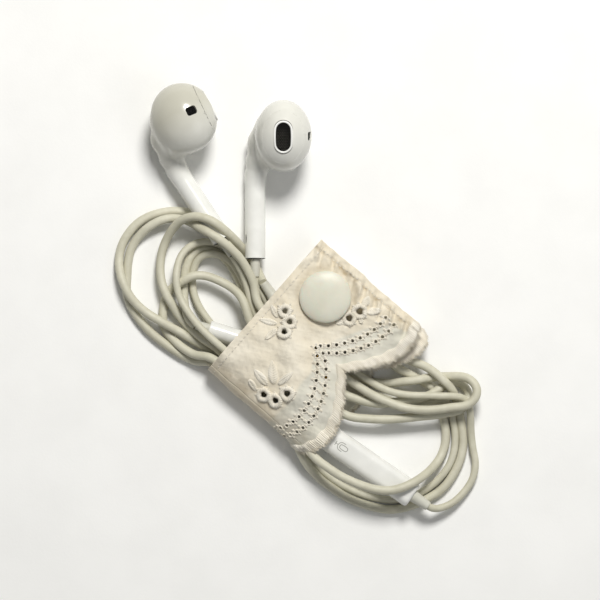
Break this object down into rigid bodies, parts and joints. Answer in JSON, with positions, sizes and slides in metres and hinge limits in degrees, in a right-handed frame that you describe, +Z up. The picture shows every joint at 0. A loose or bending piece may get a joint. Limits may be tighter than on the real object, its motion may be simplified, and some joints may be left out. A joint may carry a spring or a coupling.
{
  "type": "wired earphones",
  "caption": "Wired stem earphones with an inline remote, the cord wound in a flat hank and held by a lace cord wrap with a snap.",
  "frame": {"origin": "on the resting surface, under the middle of the box of the earbuds, remote and cord wrap", "axes": "+Z up from the surface the hank lies on; +Y towards the earbuds, along the longest extent; +X to the right of the earbuds"},
  "size_m": [0.0888, 0.1031, 0.0176],
  "materials": {
    "white_shell": "high-gloss warm white moulding",
    "grille_mesh": "fine black woven steel mesh",
    "cord_jacket": "satin beige-grey elastomer jacket",
    "boot_rubber": "satin grey elastomer",
    "jack_gold": "polished plated contact",
    "insulator_black": "matt black plastic",
    "magnet_steel": "nickel-plated magnet",
    "diaphragm_film": "thin translucent film",
    "circuit_board": "solder mask",
    "bright_steel": "bright stamped steel",
    "lace_cotton": "cream cotton with eyelet embroidery",
    "snap_resin": "satin ivory resin"
  },
  "bodies": {
    "hank": {"left_bud_front_shell": "white_shell", "left_bud_rear_shell": "white_shell", "left_bud_front_grille": "grille_mesh", "left_bud_side_grille": "grille_mesh", "left_bud_driver_basket": "insulator_black", "left_bud_driver_magnet": "magnet_steel", "left_bud_boot": "boot_rubber", "right_bud_front_shell": "white_shell", "right_bud_rear_shell": "white_shell", "right_bud_front_grille": "grille_mesh", "right_bud_side_grille": "grille_mesh", "right_bud_driver_basket": "insulator_black", "right_bud_driver_magnet": "magnet_steel", "right_bud_boot": "boot_rubber", "remote_back_cover": "white_shell", "remote_front_cover": "white_shell", "remote_circuit_board": "circuit_board", "remote_dome_switch_1": "bright_steel", "remote_dome_switch_2": "bright_steel", "remote_dome_switch_3": "bright_steel", "remote_microphone": "bright_steel", "remote_upper_boot": "boot_rubber", "remote_lower_boot": "boot_rubber", "splitter_sleeve": "white_shell", "splitter_boot": "boot_rubber", "plug_boot": "boot_rubber", "plug_housing": "white_shell", "jack_sleeve": "jack_gold", "jack_ring_1": "jack_gold", "jack_ring_2": "jack_gold", "jack_tip": "jack_gold", "jack_insulator": "insulator_black", "main_cord_left_loops": "cord_jacket", "main_cord_bundle": "cord_jacket", "main_cord_right_loops": "cord_jacket", "right_branch_cord": "cord_jacket", "wrap_band": "lace_cotton", "snap_stud": "snap_resin", "snap_cap_inner": "snap_resin"},
    "flap": {"wrap_flap": "lace_cotton", "snap_cap_outer": "snap_resin", "snap_socket": "snap_resin"},
    "volume_up": {"volume_up_button": "white_shell"},
    "centre": {"centre_button": "white_shell"},
    "volume_down": {"volume_down_button": "white_shell"},
    "left_diaphragm": {"left_bud_driver_diaphragm": "diaphragm_film"},
    "right_diaphragm": {"right_bud_driver_diaphragm": "diaphragm_film"}
  },
  "joints": [
    {"name": "flap_fold", "type": "hinge", "parent": "hank", "child": "flap", "pos_m": [-0.01409, -0.01328, 0.0104], "axis": [0.7524, -0.6587, 0], "range_deg": [0, 110]},
    {"name": "volume_up_press", "type": "slide", "parent": "hank", "child": "volume_up", "axis": [0, 0, 1], "range_m": [0, 0.00025], "stiffness_N_per_m": 2000},
    {"name": "centre_press", "type": "slide", "parent": "hank", "child": "centre", "axis": [0, 0, 1], "range_m": [0, 0.00025], "stiffness_N_per_m": 2000},
    {"name": "volume_down_press", "type": "slide", "parent": "hank", "child": "volume_down", "axis": [0, 0, 1], "range_m": [0, 0.00025], "stiffness_N_per_m": 2000},
    {"name": "left_diaphragm_stroke", "type": "slide", "parent": "hank", "child": "left_diaphragm", "axis": [0.9037, 0.428, 0.0145], "range_m": [-0.0002, 0.0002], "stiffness_N_per_m": 300},
    {"name": "right_diaphragm_stroke", "type": "slide", "parent": "hank", "child": "right_diaphragm", "axis": [0, -0.0698, 0.9976], "range_m": [-0.0002, 0.0002], "stiffness_N_per_m": 300}
  ]
}
